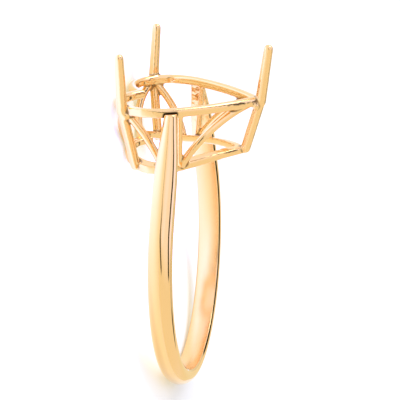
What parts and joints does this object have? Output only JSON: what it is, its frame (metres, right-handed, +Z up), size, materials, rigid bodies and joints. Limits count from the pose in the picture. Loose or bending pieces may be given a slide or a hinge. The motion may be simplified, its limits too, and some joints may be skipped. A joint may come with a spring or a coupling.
{
  "type": "semi mount ring setting",
  "caption": "Finger ring with a plain half-round band, tapered arms and an open heart-shaped basket head whose long round prongs stand empty to take a stone.",
  "frame": {"origin": "on the surface that the ring lies on, under the middle of its outline", "axes": "+Z up from that surface, +Y from the head towards the foot of the band, +X across the head; the finger passes nearly along Z"},
  "size_m": [0.0196, 0.0252, 0.0112],
  "materials": {
    "gold": "polished yellow gold"
  },
  "bodies": {
    "root": {"ring_mount": "gold"}
  },
  "joints": []
}
